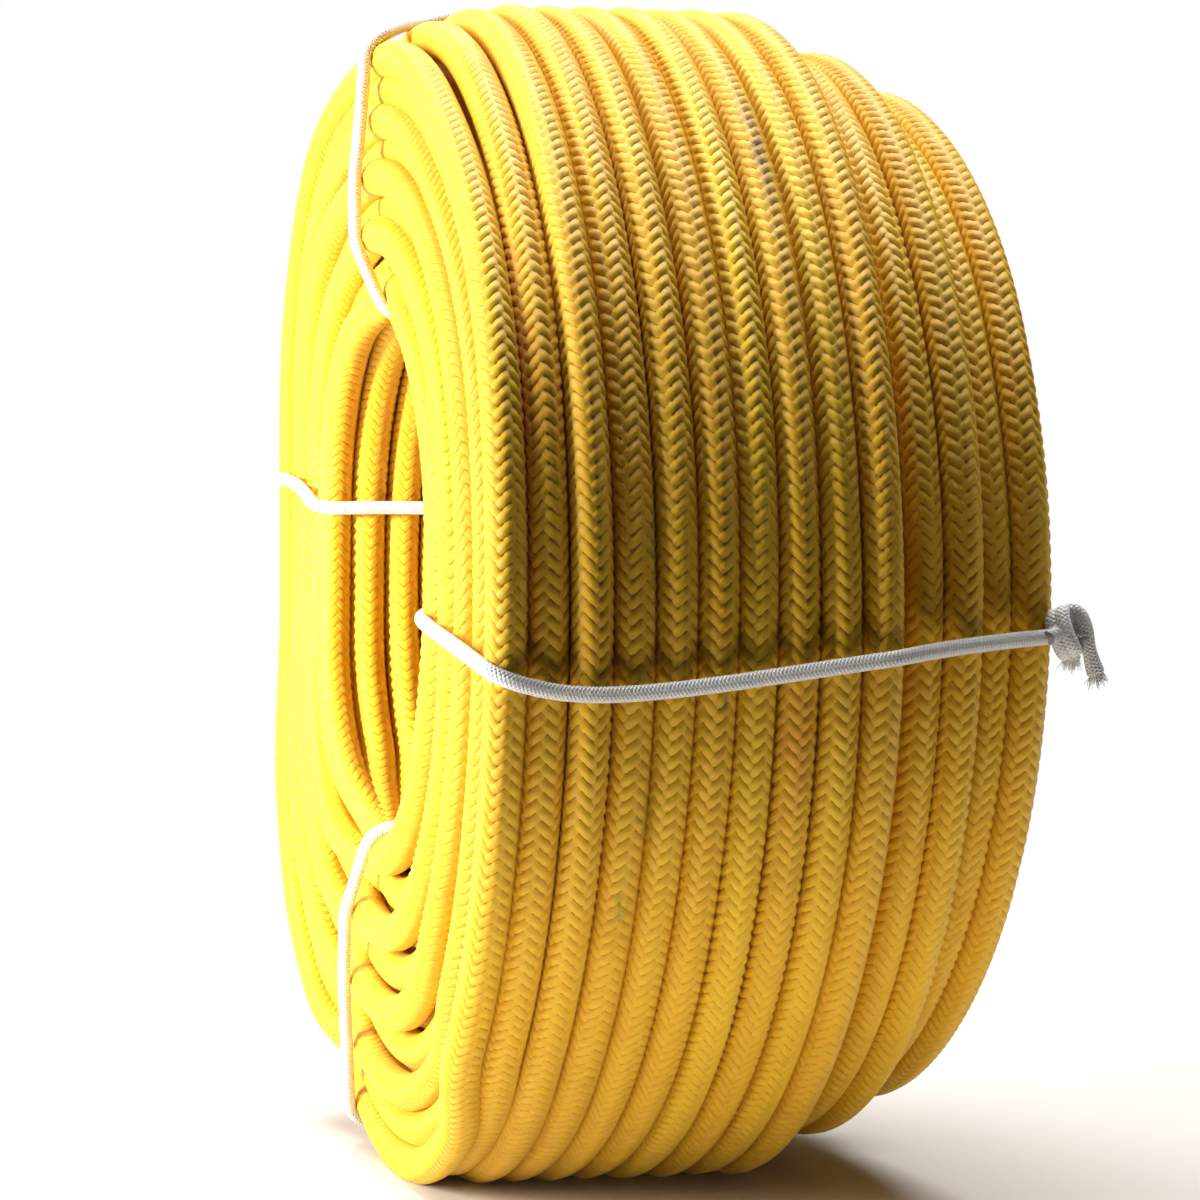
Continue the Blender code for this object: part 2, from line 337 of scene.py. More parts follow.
# ---- materials -----------------------------------------------------------------------------------
class Nodes:
    """A short way to write shader nodes."""

    def __init__(self, name):
        self.material = bpy.data.materials.new(name)
        self.material.use_nodes = True
        self.tree = self.material.node_tree
        self.shader = self.tree.nodes["Principled BSDF"]

    def plug(self, socket, value):
        if isinstance(value, bpy.types.NodeSocket):
            self.tree.links.new(value, socket)
        else:
            socket.default_value = value

    def math(self, operation, a, b=0.0, c=None):
        node = self.tree.nodes.new("ShaderNodeMath")
        node.operation = operation
        self.plug(node.inputs[0], a)
        self.plug(node.inputs[1], b)
        if c is not None:
            self.plug(node.inputs[2], c)
        return node.outputs[0]

    def mix(self, share, a, b, blend="MIX"):
        node = self.tree.nodes.new("ShaderNodeMix")
        node.data_type = "RGBA"
        node.blend_type = blend
        node.clamp_factor = True
        self.plug(node.inputs[0], share)
        self.plug(node.inputs[6], a if isinstance(a, bpy.types.NodeSocket) else (*a, 1.0))
        self.plug(node.inputs[7], b if isinstance(b, bpy.types.NodeSocket) else (*b, 1.0))
        return node.outputs[2]

    def ramp(self, value, low, high, to_low=0.0, to_high=1.0):
        node = self.tree.nodes.new("ShaderNodeMapRange")
        node.interpolation_type = "SMOOTHSTEP"
        self.plug(node.inputs[0], value)
        for k, number in zip((1, 2, 3, 4), (low, high, to_low, to_high)):
            node.inputs[k].default_value = number
        return node.outputs[0]

    def noise(self, vector, scale, detail=3.0, rough=0.55):
        node = self.tree.nodes.new("ShaderNodeTexNoise")
        node.inputs["Scale"].default_value = scale
        node.inputs["Detail"].default_value = detail
        node.inputs["Roughness"].default_value = rough
        self.plug(node.inputs["Vector"], vector)
        return node.outputs[0]

    def attribute(self, name, output):
        node = self.tree.nodes.new("ShaderNodeAttribute")
        node.attribute_name = name
        return node.outputs[output]

    def place(self):
        return self.tree.nodes.new("ShaderNodeTexCoord").outputs["Object"]

    def lay(self):
        node = self.tree.nodes.new("ShaderNodeUVMap")
        node.uv_map = "lay"
        split = self.tree.nodes.new("ShaderNodeSeparateXYZ")
        self.tree.links.new(node.outputs[0], split.inputs[0])
        return split.outputs[0], split.outputs[1]

    def bump(self, height, strength=1.0, distance=1.0):
        node = self.tree.nodes.new("ShaderNodeBump")
        node.inputs["Strength"].default_value = strength
        node.inputs["Distance"].default_value = distance
        self.plug(node.inputs["Height"], height)
        self.plug(self.shader.inputs["Normal"], node.outputs[0])

    def finish(self, colour, roughness, sheen=0.0, sheen_rough=0.4, tint=(1, 1, 1), specular=0.4):
        self.plug(self.shader.inputs["Base Color"], colour)
        self.plug(self.shader.inputs["Roughness"], roughness)
        self.shader.inputs["Sheen Weight"].default_value = sheen
        self.shader.inputs["Sheen Roughness"].default_value = sheen_rough
        self.shader.inputs["Sheen Tint"].default_value = (*tint, 1.0)
        self.shader.inputs["Specular IOR Level"].default_value = specular
        return self.material


def strand_pattern(nodes, strands, over):
    """Sockets of a braid: its height from 0 to 1, the place across the upper strand, the numbers."""
    turn, along = nodes.lay()
    m = nodes.math
    u = m("MULTIPLY", m("ADD", turn, along), float(strands))
    v = m("MULTIPLY", m("SUBTRACT", turn, along), float(strands))
    heights, places, numbers = [], [], []
    for mine, other, sign in ((u, v, 1.0), (v, u, -1.0)):
        number = m("FLOOR", mine)
        across = m("ABSOLUTE", m("MULTIPLY_ADD", m("FRACT", mine), 2.0, -1.0))
        wave = m("COSINE", m("MULTIPLY", m("SUBTRACT", m("ADD", number, other), over / 2.0), math.pi / over))
        drop = m("POWER", across, 4.0)
        heights.append(m("MULTIPLY_ADD", wave, 0.42 * sign, m("MULTIPLY", drop, -0.58)))
        places.append(mine)
        numbers.append(number)
    upper = m("GREATER_THAN", heights[0], heights[1])
    height = m("MAXIMUM", heights[0], heights[1])
    place = m("ADD", m("MULTIPLY", places[0], upper), m("MULTIPLY", places[1], m("SUBTRACT", 1.0, upper)))
    return m("ADD", m("MULTIPLY", height, 0.9), 0.55), place, numbers


def rope_material():
    """Yellow braid with its stains, scuffs, and painted shade darkening its crevices."""
    nodes = Nodes("yellow_braid")
    m = nodes.math
    height, place, numbers = strand_pattern(nodes, STRANDS, 2)
    where = nodes.place()
    tone = nodes.attribute("tone", "Fac")
    mark = nodes.tree.nodes.new("ShaderNodeSeparateXYZ")
    nodes.tree.links.new(nodes.attribute("mark", "Vector"), mark.inputs[0])
    broad = nodes.noise(where, 9.0, 2.0)
    middling = nodes.noise(where, 70.0, 3.0)
    fine = nodes.noise(where, 900.0, 2.0)
    filament = m("SINE", m("MULTIPLY", m("ADD", place, m("MULTIPLY", middling, 0.5)), 2 * math.pi * 9.0))

    lemon, golden, deep = (0.840, 0.515, 0.012), (0.780, 0.410, 0.010), (0.580, 0.250, 0.008)
    colour = nodes.mix(nodes.ramp(m("ADD", tone, m("MULTIPLY", broad, 0.8)), 0.1, 1.1), lemon, golden)
    colour = nodes.mix(m("MULTIPLY", nodes.ramp(middling, 0.50, 0.78), 0.30), colour, deep)
    # Each strand has its own shade, scrambled from its number.
    scrambled = m("ADD", m("MULTIPLY", numbers[0], 12.99), m("MULTIPLY", numbers[1], 78.2))
    strand = m("FRACT", m("MULTIPLY", m("SINE", scrambled), 437.5))
    colour = nodes.mix(m("MULTIPLY", strand, 0.20), colour, (0.88, 0.60, 0.03))
    # Painted shade: the colour darkens into the crevices between the strands, where the braid's own shade
    # falls.
    crevice_shade = nodes.ramp(height, 0.10, 0.46, 1.0, 0.0)
    colour = nodes.mix(m("MULTIPLY", crevice_shade, 0.72), colour, (0.26, 0.095, 0.008))
    furrow = m("MULTIPLY", nodes.ramp(filament, -1.0, -0.2, 1.0, 0.0), 0.10)
    colour = nodes.mix(furrow, colour, (0.52, 0.27, 0.01))
    speck = m("MULTIPLY", mark.outputs[0], nodes.ramp(nodes.noise(where, 160.0, 5.0, 0.7), 0.30, 0.62))
    colour = nodes.mix(speck, colour, (0.055, 0.048, 0.038))
    green = m("MULTIPLY", mark.outputs[1], nodes.ramp(nodes.noise(where, 380.0, 3.0), 0.40, 0.62))
    colour = nodes.mix(m("MULTIPLY", green, 0.8), colour, (0.16, 0.23, 0.03))
    orange = m("MULTIPLY", mark.outputs[2], nodes.ramp(nodes.noise(where, 120.0, 3.0), 0.25, 0.65))
    colour = nodes.mix(m("MULTIPLY", orange, 0.75), colour, (0.72, 0.22, 0.012))

    relief = m("ADD", m("MULTIPLY", height, 0.00060), m("MULTIPLY", filament, 0.000020))
    relief = m("ADD", relief, m("MULTIPLY", fine, 0.00003))
    nodes.bump(relief, 1.0)
    roughness = nodes.ramp(middling, 0.2, 0.8, 0.48, 0.62)
    return nodes.finish(colour, roughness, 0.18, 0.45, (1.0, 0.86, 0.35), 0.38)


def cord_material():
    """White plaited cord."""
    nodes = Nodes("white_tie_cord")
    m = nodes.math
    height = strand_pattern(nodes, CORD_STRANDS, 1)[0]
    where = nodes.place()
    fine = nodes.noise(where, 1500.0, 2.0)
    broad = nodes.noise(where, 60.0, 3.0)
    colour = nodes.mix(nodes.ramp(broad, 0.3, 0.75), (0.86, 0.85, 0.83), (0.79, 0.77, 0.73))
    # Painted shade: the colour darkens into the crevices between the cord's strands, where its own shade
    # falls.
    crevice_shade = nodes.ramp(height, 0.10, 0.62, 1.0, 0.0)
    colour = nodes.mix(m("MULTIPLY", crevice_shade, 0.85), colour, (0.27, 0.23, 0.19))
    relief = m("ADD", m("MULTIPLY", height, 0.00045), m("MULTIPLY", fine, 0.00003))
    nodes.bump(relief, 1.0)
    return nodes.finish(colour, nodes.ramp(broad, 0.2, 0.8, 0.45, 0.6), 0.35, 0.4, (1, 1, 1), 0.45)


def fibre_material(name, colour, other, roughness):
    """Loose fibre that varies between two colours."""
    nodes = Nodes(name)
    where = nodes.place()
    mixed = nodes.mix(nodes.ramp(nodes.noise(where, 500.0), 0.35, 0.65), colour, other)
    nodes.bump(nodes.math("MULTIPLY", nodes.noise(where, 1200.0), 0.0001), 1.0)
    return nodes.finish(mixed, roughness, 0.2, 0.5, (1, 1, 1), 0.35)


def seal_material():
    """The hard, scorched skin of a melted rope end."""
    nodes = Nodes("melted_end")
    where = nodes.place()
    scorched = nodes.ramp(nodes.noise(where, 260.0), 0.35, 0.68)
    colour = nodes.mix(scorched, (0.52, 0.27, 0.02), (0.24, 0.11, 0.014))
    nodes.bump(nodes.math("MULTIPLY", nodes.noise(where, 420.0, 4.0), 0.0006), 1.0)
    roughness = nodes.ramp(nodes.noise(where, 150.0), 0.3, 0.7, 0.22, 0.5)
    return nodes.finish(colour, roughness, 0.0, 0.5, (1, 1, 1), 0.5)


ROPE_LOOK = rope_material()
CORD_LOOK = cord_material()
FRAY_LOOK = fibre_material("white_frayed_fibre", (0.88, 0.87, 0.84), (0.78, 0.75, 0.70), 0.6)
CORE_LOOK = fibre_material("rope_core_yarn", (0.84, 0.70, 0.30), (0.74, 0.56, 0.18), 0.7)
SEAL_LOOK = seal_material()


# ---- the rope in each layer ----------------------------------------------------------------------
def between(angle, low, high, ease):
    """1 between two angles round the coil, in degrees, easing to 0 outside them."""
    middle = math.radians((low + high) / 2)
    away = np.abs((angle - middle + math.pi) % (2 * math.pi) - math.pi)
    return smooth((math.radians((high - low) / 2 + ease) - away) / math.radians(ease))


LEAN = 0.0050  # how far the back of the coil leans towards -X
NEAR = (1.0, 0.5, 0.16, 0.04)  # how much the first lanes of a layer follow the -X side's slip


def settled(layer, lane, angle):
    """How far a lane lies from its even place, along the axis and outwards, in metres.

    The back of the coil leans towards -X. At the top the -X shoulder has slipped down and the face
    beyond it bulges. The front of the +X side stands out a little, and the ties draw in the bore's edge.
    """
    dx = -LEAN * (1 - np.cos(angle)) / 2
    dr = np.zeros_like(dx)
    outer = layer / LAST
    if lane < len(NEAR):
        # The shoulder at the top has slipped down, and the face behind it bulges.
        slipped = between(angle, 60, 94, 44) * NEAR[lane]
        leaning = between(angle, 88, 118, 55) * NEAR[lane]
        dx = dx - leaning * ROPE * 0.30 * math.sin(math.pi * (layer + 0.3) / 9.5)
        dr = dr - slipped * ROPE * 1.08 * outer**1.3
        # Two bulges at the back.
        far = (0.6 * between(angle, 126, 146, 30) + between(angle, 204, 214, 24)) * NEAR[lane]
        dx, dr = dx - 0.0034 * far * (0.4 + 0.6 * outer), dr + 0.0022 * far * outer
        # Underneath, the weight pushes the shoulder towards +X.
        low = between(angle, 250, 296, 18) * NEAR[lane]
        dx = dx + low * ROPE * 0.60 * outer**2
    # The second turn has sunk and the third rides up, low down and at the front.
    if layer == LAST and lane == 1:
        dr = dr - 0.0030 * between(angle, 268, 296, 16) - 0.0005 * between(angle, -40, 40, 35)
    if layer == LAST and lane == 2:
        dr = dr + 0.0009 * between(angle, -40, 40, 35)
    # The +X side stands out at the front.
    if layer in (4, 5, 6) and lane >= 12:
        dx = dx + 0.0026 * between(angle, -30, 30, 40)
    # The top and bottom ties draw in the bore's edge.
    if layer < 2 and lane < 2:
        share = (0.5, 0.22)[layer] * (1.0, 0.35)[lane]
        for degrees in (TIES["top"][0] - 6, TIES["bottom"][0]):
            drawn = between(angle, degrees - 3, degrees + 3, 22) * share
            dx, dr = dx + drawn * ROPE, dr + 0.4 * drawn * ROPE
    return dx, dr


def wander(layer, lane, angle):
    """How far a turn strays from its lane, along the axis and outwards, in metres."""
    seed = layer * 17.3 + lane * 5.1
    inside = 1.0 if 0 < layer < 8 else 0.8
    x = 0.00034 * np.sin(2 * angle + seed) + 0.00022 * np.sin(5 * angle + 2.3 * seed)
    r = 0.00030 * np.sin(3 * angle + 1.7 * seed) + 0.00018 * np.sin(7 * angle + seed)
    return x * inside, r * inside


def first_lane(layer):
    """The lane in which a layer starts: the layers are laid from -X and from +X by turns."""
    return 0 if layer % 2 == 0 else LAYERS[layer][1] - 1


def last_lane(layer):
    return LAYERS[layer][1] - 1 if layer % 2 == 0 else 0


def lane_name(layer, order, k):
    """The layer and lane that the k-th turn of a layer lies in; k is -1 or the count at its ends."""
    if k < 0:
        return (0, INNER_END_TURN) if layer == 0 else (layer - 1, last_lane(layer - 1))
    if k >= len(order):
        return (LAST, len(order)) if layer == LAST else (layer + 1, first_lane(layer + 1))
    return layer, order[k]


def lane_place(layer, order, k):
    """Place along the axis, distance from the axis, and lift of the k-th turn's lane."""
    if layer == 0 and k < 0:
        return turn_x(0, INNER_END_TURN), INNER_END_RADIUS, rise(0)
    if layer == LAST and k >= len(order):
        return OUTER_END_X, OUTER_END_RADIUS, 0.0
    of_layer, of_lane = lane_name(layer, order, k)
    return turn_x(of_layer, of_lane), layer_radius(of_layer), rise(of_layer)


def layer_route(layer):
    """The rope's line through one layer. It goes round against the coil's angle."""
    turns = LAYERS[layer][1]
    order = list(range(turns)) if layer % 2 == 0 else list(range(turns - 1, -1, -1))
    radius = layer_radius(layer)
    half = CROSSING_LENGTH / radius
    begin = CROSSING - INNER_END_ANGLE - 2 * math.pi if layer == 0 else 0.0
    end = 2 * math.pi * turns + (CROSSING - OUTER_END_ANGLE - END_ARC if layer == LAST else 0.0)
    steps = int(math.ceil((end - begin) * radius / ROUTE_STEP))
    turned = np.linspace(begin, end, steps + 1)
    angle = CROSSING - turned

    # Every turn keeps to its lane, and steps over to the next one at the crossing.
    table = np.array([lane_place(layer, order, k) for k in range(-1, turns + 1)])
    nearest = np.round(turned / (2 * math.pi)).astype(int)
    share = smooth((turned - nearest * 2 * math.pi + half) / (2 * half))
    if layer == 0:
        # The rope comes down from its inner end more slowly.
        share = np.where(nearest <= 0, smooth((turned - begin - 0.2) / (-begin - 0.45)), share)
    first, second = np.clip(nearest, 0, turns + 1), np.clip(nearest + 1, 0, turns + 1)
    values = table[first] + (table[second] - table[first]) * share[:, None]
    x, r, lift = values[:, 0].copy(), values[:, 1].copy(), values[:, 2]

    moved = []
    for k in range(-1, turns + 1):
        of_layer, of_lane = lane_name(layer, order, k)
        dx, dr = settled(of_layer, of_lane, angle)
        strays = wander(of_layer, of_lane, angle) if 0 <= k < turns else (0.0, 0.0)
        moved.append((dx + strays[0], dr + strays[1]))
    moved = np.array(moved)
    rows = np.arange(len(turned))
    x += moved[first, 0, rows] * (1 - share) + moved[second, 0, rows] * share
    r += moved[first, 1, rows] * (1 - share) + moved[second, 1, rows] * share

    tone = 0.5 + 0.5 * np.sin(turned * 0.31 + layer * 2.1) * np.sin(turned * 0.173 + 1.0)
    points = np.stack([x, -r * np.cos(angle), AXIS_HEIGHT + lift + r * np.sin(angle)], axis=1)
    outward = np.stack([np.zeros_like(angle), -np.cos(angle), np.sin(angle)], axis=1)
    return Route(points, outward, tone), turned, order


# The lanes of the buried layers that show at the sides. Layers 0 and 8 show all round.
SHOWN = {
    1: {0, 12},
    2: {0, 13},
    3: {0, 12},
    4: {0, 13},
    5: {0, 13},
    6: {0, 12, 13},
    7: {0, 9, 10, 11},
}


def rope_marks(points):
    """Scuffs (first), green flecks (second) and rust-orange stain (third) on the outer layer."""
    angle = np.arctan2(points[:, 2] - AXIS_HEIGHT, -points[:, 1])
    turn = (points[:, 0] - LEFT_FACE_X) / ROPE
    result = np.zeros((len(points), 3))

    def spot(column, turn_at, angle_at, wide, tall, amount=1.0):
        """Its kind, its place as a turn and an angle, its width in turns and height in degrees."""
        away_x = (turn - turn_at) / wide
        away_round = (angle - math.radians(angle_at)) / math.radians(tall)
        strength = amount * np.exp(-(away_x**2 + away_round**2))
        result[:, column] = np.maximum(result[:, column], strength)

    spot(0, 7.55, 44.0, 0.22, 7.0, 0.9)
    spot(0, 5.62, -9.5, 0.06, 0.7)
    spot(1, 3.9, 3.0, 0.16, 3.0)
    spot(1, 3.9, -20.0, 0.20, 2.0)
    spot(1, 3.5, -28.0, 0.14, 2.0)
    spot(2, 1.05, 15.0, 0.22, 22.0)
    spot(2, 7.4, -13.0, 0.4, 6.0, 0.7)
    spot(2, 2.95, -2.0, 0.10, 14.0, 0.7)
    return result


BODY = "coil"


def add_buried_layer(builder, layer, route, turned, order, sides, travelled):
    """A layer that shows only at its sides: braided there, and plain where it is buried."""
    half = CROSSING_LENGTH / layer_radius(layer)
    shown = np.zeros(len(turned), bool)
    for k, lane in enumerate(order):
        if lane in SHOWN[layer]:
            shown |= (turned >= 2 * math.pi * k - half) & (turned <= 2 * math.pi * (k + 1) + half)
    edges = np.flatnonzero(np.diff(shown.astype(int))) + 1
    for part in np.split(np.arange(len(turned)), edges):
        low, high = route.along[part[0]], route.along[min(part[-1] + 1, len(turned) - 1)]
        if shown[part[0]]:
            add_rings(builder, route, low, high, sides, travelled, None)
        else:
            add_plain(builder, route, low, high)


def make_layer(layer, travelled):
    """The rope in one layer, after this much rope below it. Returns its length."""
    route, turned, order = layer_route(layer)
    builder = Builder()
    sides = 24 if layer >= 5 else 16
    if layer in SHOWN:
        add_buried_layer(builder, layer, route, turned, order, sides, travelled)
    else:
        marks = rope_marks if layer == LAST else None
        add_rings(builder, route, 0.0, route.length, sides, travelled, marks)
    piece = builder.build(f"rope_in_layer_{layer + 1}", ROPE_LOOK)
    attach(piece, BODY)
    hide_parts(f"rope_layer_{layer + 1}")
    return route.length


travelled = 0.0
for layer in range(len(LAYERS)):
    travelled += make_layer(layer, travelled)


# ---- the rope's two ends -------------------------------------------------------------------------
END_POINTS = 60
TIP_RADIUS = 0.0058
TIP_DEPTH = 0.0026
CORE_YARNS = 7  # six round one in the middle
YARN_RADIUS = 0.00115


def arc_route(layer, lane, x, radius, lift, start, end):
    """A line round the coil from the start angle down to the end angle, beside this lane."""
    angle = np.linspace(start, end, END_POINTS)
    dx, dr = settled(layer, lane, angle)
    r = radius + dr
    points = np.stack([x + dx, -r * np.cos(angle), AXIS_HEIGHT + lift + r * np.sin(angle)], axis=1)
    outward = np.stack([np.zeros(END_POINTS), -np.cos(angle), np.sin(angle)], axis=1)
    return Route(points, outward, np.full(END_POINTS, 0.4))


def add_cord(builder, route, start, end, radius, sides, spacing, lay, flat=1.0, shape=None, caps=True):
    """A smooth round or flattened cord; shape(share) scales its radius along it."""
    rows = max(3, int(math.ceil((end - start) / spacing)) + 1)
    distance = np.linspace(start, end, rows)
    centre, tangent, out, side, tone = route.frames(distance)
    angle = 2 * math.pi * np.arange(sides) / sides
    size = radius * (np.ones(rows) if shape is None else shape(np.linspace(0, 1, rows)))
    round_it = (
        out[:, None] * (np.cos(angle) / flat)[None, :, None]
        + side[:, None] * (np.sin(angle) * flat)[None, :, None]
    )
    points = centre[:, None] + size[:, None, None] * round_it
    first = builder.count
    coords = tube_coords(distance, sides, lay)
    builder.add(points.reshape(-1, 3), tube_faces(rows, sides), coords, np.repeat(tone, sides))
    if caps:
        builder.add(np.stack([centre[0], centre[-1]]), np.zeros((0, 3), int), np.zeros((0, 2)))
        low, high = first + rows * sides, first + rows * sides + 1
        k = np.arange(sides)
        last = first + (rows - 1) * sides
        start_cap = np.stack([first + (k + 1) % sides, first + k, np.full(sides, low)], -1)
        end_cap = np.stack([last + k, last + (k + 1) % sides, np.full(sides, high)], -1)
        builder.close(np.concatenate([start_cap, end_cap]))


def end_core(name, route):
    """Twisted yarns inside the cover."""
    core = Builder()
    for k in range(CORE_YARNS):
        turn = np.linspace(0, 2.5 * math.pi, END_POINTS) + k * math.pi / 3
        away = 0.0 if k == CORE_YARNS - 1 else 0.0024
        spread = np.stack([away * np.cos(turn), away * np.sin(turn)], axis=1)
        centre, tangent, out, side, tone = route.frames(np.linspace(0, route.length, END_POINTS))
        yarn = Route(centre + out * spread[:, :1] + side * spread[:, 1:], out)
        add_cord(core, yarn, 0.0, yarn.length, YARN_RADIUS, 8, 0.002, 0.01)
    return core.build(f"rope_{name}_core_yarns", CORE_LOOK)


def end_seal(name, route, tip_first):
    """A lumpy dome of melted fibre over the cut end."""
    tip = 0.0 if tip_first else route.length
    centre, tangent, out, side, tone = route.frames(np.array([tip]))
    away = -tangent[0] if tip_first else tangent[0]
    seal = Builder()
    rows, sides = 12, 36
    share = np.linspace(0, 1, rows)
    theta = 2 * math.pi * np.arange(sides) / sides
    lumps = 1 + 0.05 * np.sin(3 * theta + 1.0) + 0.035 * np.sin(7 * theta + 2.0)
    dome = np.sqrt(np.clip(1 - (share * 0.995) ** 3.2, 0, 1))
    size = TIP_RADIUS * dome * (1.0 + 0.05 * np.sin(share * 6))
    depth = share * TIP_DEPTH
    points = (
        centre[0]
        + (out[0] * np.cos(theta)[None, :, None] + side[0] * np.sin(theta)[None, :, None])
        * (size[:, None] * lumps[None, :])[..., None]
        + away * (depth[:, None] + 0.00016 * np.sin(5 * theta)[None, :] * share[:, None])[..., None]
    )
    quads = tube_faces(rows, sides)
    k = np.arange(sides)
    ring = (rows - 1) * sides
    fan = np.stack([ring + k, ring + (k + 1) % sides, np.full(sides, rows * sides)], -1)
    if tip_first:
        quads, fan = quads[:, ::-1], fan[:, ::-1]
    seal.add(points.reshape(-1, 3), quads, np.zeros((len(quads) * 4, 2)))
    seal.add([centre[0] + away * (TIP_DEPTH + 0.0001)], np.zeros((0, 3), int), np.zeros((0, 2)))
    seal.close(fan)
    return seal.build(f"rope_{name}_melted_tip", SEAL_LOOK)


def rope_end(name, layer, lane, x, radius, lift, start, end, distance_at_start, tip_first):
    """The cover, the core yarns in it, and the melted end."""
    route = arc_route(layer, lane, x, radius, lift, start, end)
    cover = Builder()
    add_rings(cover, route, 0.0, route.length, 24, distance_at_start, None)
    cover = cover.build(f"rope_{name}_braided_cover", ROPE_LOOK)
    core = end_core(name, route)
    seal = end_seal(name, route, tip_first)
    pieces = (
        (cover, "cover", "yellow_braid"),
        (core, "core", "rope_core"),
        (seal, "seal", "melted_end"),
    )
    for piece, part, slot in pieces:
        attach(piece, BODY)
        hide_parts(f"rope_{name}_{part}")


rope_end(
    "inner_end",
    0,
    INNER_END_TURN,
    turn_x(0, INNER_END_TURN),
    INNER_END_RADIUS,
    rise(0),
    INNER_END_ANGLE + END_ARC,
    INNER_END_ANGLE,
    -INNER_END_RADIUS * END_ARC,
    True,
)
rope_end(
    "outer_end",
    LAST,
    LAYERS[LAST][1],
    OUTER_END_X,
    OUTER_END_RADIUS,
    0.0,
    OUTER_END_ANGLE + END_ARC,
    OUTER_END_ANGLE,
    travelled,
    False,
)


# ---- the ties ------------------------------------------------------------------------------------
# The tails of a knot, from its middle: along X (away from the coil), Y and Z.
LONG_TAIL = (
    (0.0002, 0.0004, 0.0052),
    (0.0026, 0.0000, 0.0074),
    (0.0052, -0.0006, 0.0062),
    (0.0068, -0.0010, 0.0022),
    (0.0077, -0.0008, -0.0030),
    (0.0092, -0.0002, -0.0076),
    (0.0104, 0.0004, -0.0106),
)
SHORT_TAIL = (
    (0.0030, 0.0024, -0.0014),
    (0.0042, 0.0036, -0.0040),
    (0.0046, 0.0046, -0.0062),
)


TIE_SPACING = 0.0012  # of the points along a tie
CUT = 0.0006  # the loop stops this far from the middle of its knot
TAIL_POINTS = 60
FLAT = 1.05  # a taut cord is wider than round by this factor, and thinner by it


def curve_through(points, count):
    """A smooth line through the points (Catmull-Rom)."""
    p = np.asarray(points, float)
    p = np.concatenate([[2 * p[0] - p[1]], p, [2 * p[-1] - p[-2]]])
    t = np.linspace(0, len(p) - 3 - 1e-6, count)
    k = t.astype(int)
    f = (t - k)[:, None]
    a, b, c, d = p[k], p[k + 1], p[k + 2], p[k + 3]
    return 0.5 * (2 * b + (c - a) * f + (2 * a - 5 * b + 4 * c - d) * f**2 + (3 * b - a - 3 * c + d) * f**3)


def eased_round(values, spread):
    """A closed row of values, each averaged with its neighbours over this many places."""
    count = len(values)
    away = np.minimum(np.arange(count), count - np.arange(count))
    weights = np.exp(-0.5 * (away / spread) ** 2)
    share = np.fft.fft(weights / weights.sum())
    return np.fft.ifft(np.fft.fft(values) * share).real


def tie_section(lean, angle, slid):
    """Rows (x, radius, lean, outward x, outward radius) of a taut tie round the coil's section."""
    reach = SKIN + TIE_CLEARANCE + TIE_RADIUS - TIE_SINK
    middles = []
    for layer, (_, turns) in enumerate(LAYERS):
        for turn in range(turns):
            dx, dr = settled(layer, turn, angle - math.radians(slid))
            radius = layer_radius(layer) + dr + rise(layer) * math.sin(angle)
            middles.append((turn_x(layer, turn) + dx, radius))
    middles = np.array(middles, float)
    # The cord touches the section where a line square to each direction first meets it.
    facing = math.pi - np.linspace(0, 2 * math.pi, 1441)
    normals = np.stack([np.cos(facing), np.sin(facing)], axis=1)
    touched = middles[np.argmax(middles @ normals.T, axis=0)] + reach * normals
    along = np.concatenate([[0.0], np.cumsum(np.linalg.norm(np.diff(touched, axis=0), axis=1))])
    count = int(along[-1] / TIE_SPACING)
    places = np.linspace(0, along[-1], count, endpoint=False)
    rows = [np.interp(places, along, column) for column in (*touched.T, *normals.T)]

    # It leans from its angle by a different amount at each corner, and eases from one to the next.
    corners = np.array([(turn_x(layer, turn), layer_radius(layer)) for layer, turn in TIE_CORNERS])
    centre = np.array([0.0, (layer_radius(0) + layer_radius(8)) / 2])
    bearing = np.arctan2(*(corners - centre).T)
    here = np.arctan2(rows[0] - centre[0], rows[1] - centre[1])
    leaning = eased_round(np.interp(here, bearing, lean, period=2 * math.pi), 17)
    over = np.degrees(here)
    leaning -= slid * smooth((over + 125) / 50) * smooth((-55 - over) / 12)
    x, radius, out_x, out_radius = (eased_round(row, 2.0) for row in rows)
    return np.stack([x, radius, leaning, out_x, out_radius], axis=1)


def fray(builder, end, direction, seed, count, length, spread):
    """A tuft of loose fibres at a cut end."""
    rng = np.random.default_rng(seed)
    direction = direction / np.linalg.norm(direction)
    droop = np.array([0, 0, -0.0006])
    steps = (0, 0.3, 0.6, 1.0)
    a = np.cross(direction, np.array([0.3, 1.0, 0.2]))
    a /= np.linalg.norm(a)
    b = np.cross(direction, a)
    for _ in range(count):
        turn = rng.uniform(0, 2 * math.pi)
        away = math.sqrt(rng.uniform(0, 1)) * 0.0019
        arm = a * math.cos(turn) + b * math.sin(turn)
        reach = length * rng.uniform(0.45, 1.0)
        lean = arm * spread * rng.uniform(0.1, 1.0) + rng.normal(0, 0.12, 3)
        root = end + arm * away - direction * 0.0012
        points = [root + (direction * t + lean * t * t) * reach + droop * t * t for t in steps]
        line = Route(curve_through(points, 7), np.tile(b, (7, 1)))
        radius = rng.uniform(0.00006, 0.00013)
        add_cord(builder, line, 0.0, line.length, radius, 4, line.length / 5, 0.01, caps=False)


